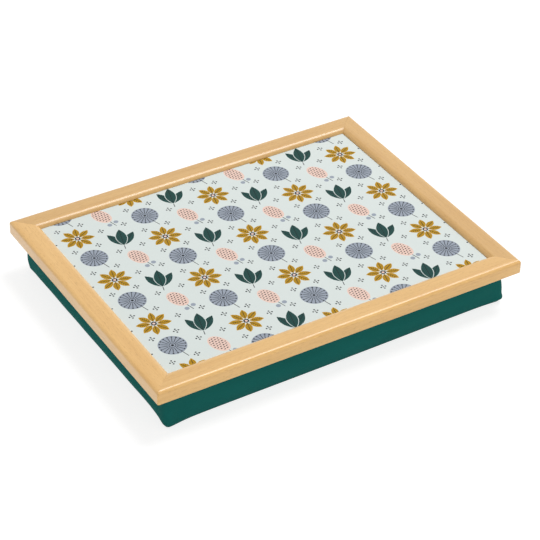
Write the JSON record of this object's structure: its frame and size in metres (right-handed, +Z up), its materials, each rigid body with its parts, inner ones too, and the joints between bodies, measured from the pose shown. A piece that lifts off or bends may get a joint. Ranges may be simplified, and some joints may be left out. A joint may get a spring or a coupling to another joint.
{
  "type": "cushioned lap tray",
  "caption": "Flat lap tray: a mitred timber frame round a printed panel, fixed with hook and loop tape on a low bead-filled cushion that it lifts off.",
  "frame": {"origin": "on the floor, under the middle of the cushion and of the tray", "axes": "+X along the long side of the tray, +Y from the front rail to the back rail, +Z up out of the printed face"},
  "size_m": [0.43, 0.33, 0.0585],
  "materials": {
    "rail_timber": "satin lacquer over pale fine-grained timber",
    "printed_laminate": "smooth satin laminate with a printed pattern",
    "fibreboard": "bare sawn edge of fibreboard",
    "backing_paper": "matte resin-bonded paper",
    "fastener_steel": "bright zinc",
    "hook_tape": "woven tape with stiff hooks",
    "loop_tape": "woven tape with soft brushed loops",
    "cover_cloth": "smooth plain-woven cloth",
    "beads": "loose expanded polystyrene beads"
  },
  "bodies": {
    "cushion": {"bag_top": "cover_cloth", "bag_band": "cover_cloth", "bag_bottom": "cover_cloth", "bead_fill": "beads", "loop_tape_front": "loop_tape", "loop_tape_back": "loop_tape", "loop_tape_left": "loop_tape", "loop_tape_right": "loop_tape"},
    "tray": {"front_rail": "rail_timber", "back_rail": "rail_timber", "left_rail": "rail_timber", "right_rail": "rail_timber", "corner_nails": "fastener_steel", "print_sheet": "printed_laminate", "tray_board": "fibreboard", "backing_sheet": "backing_paper", "panel_points": "fastener_steel", "hook_tape_front": "hook_tape", "hook_tape_back": "hook_tape", "hook_tape_left": "hook_tape", "hook_tape_right": "hook_tape", "tape_staples": "fastener_steel"}
  },
  "joints": [
    {"name": "tray_lift", "type": "slide", "parent": "cushion", "child": "tray", "axis": [0, 0, 1], "range_m": [0, 0.1]}
  ]
}
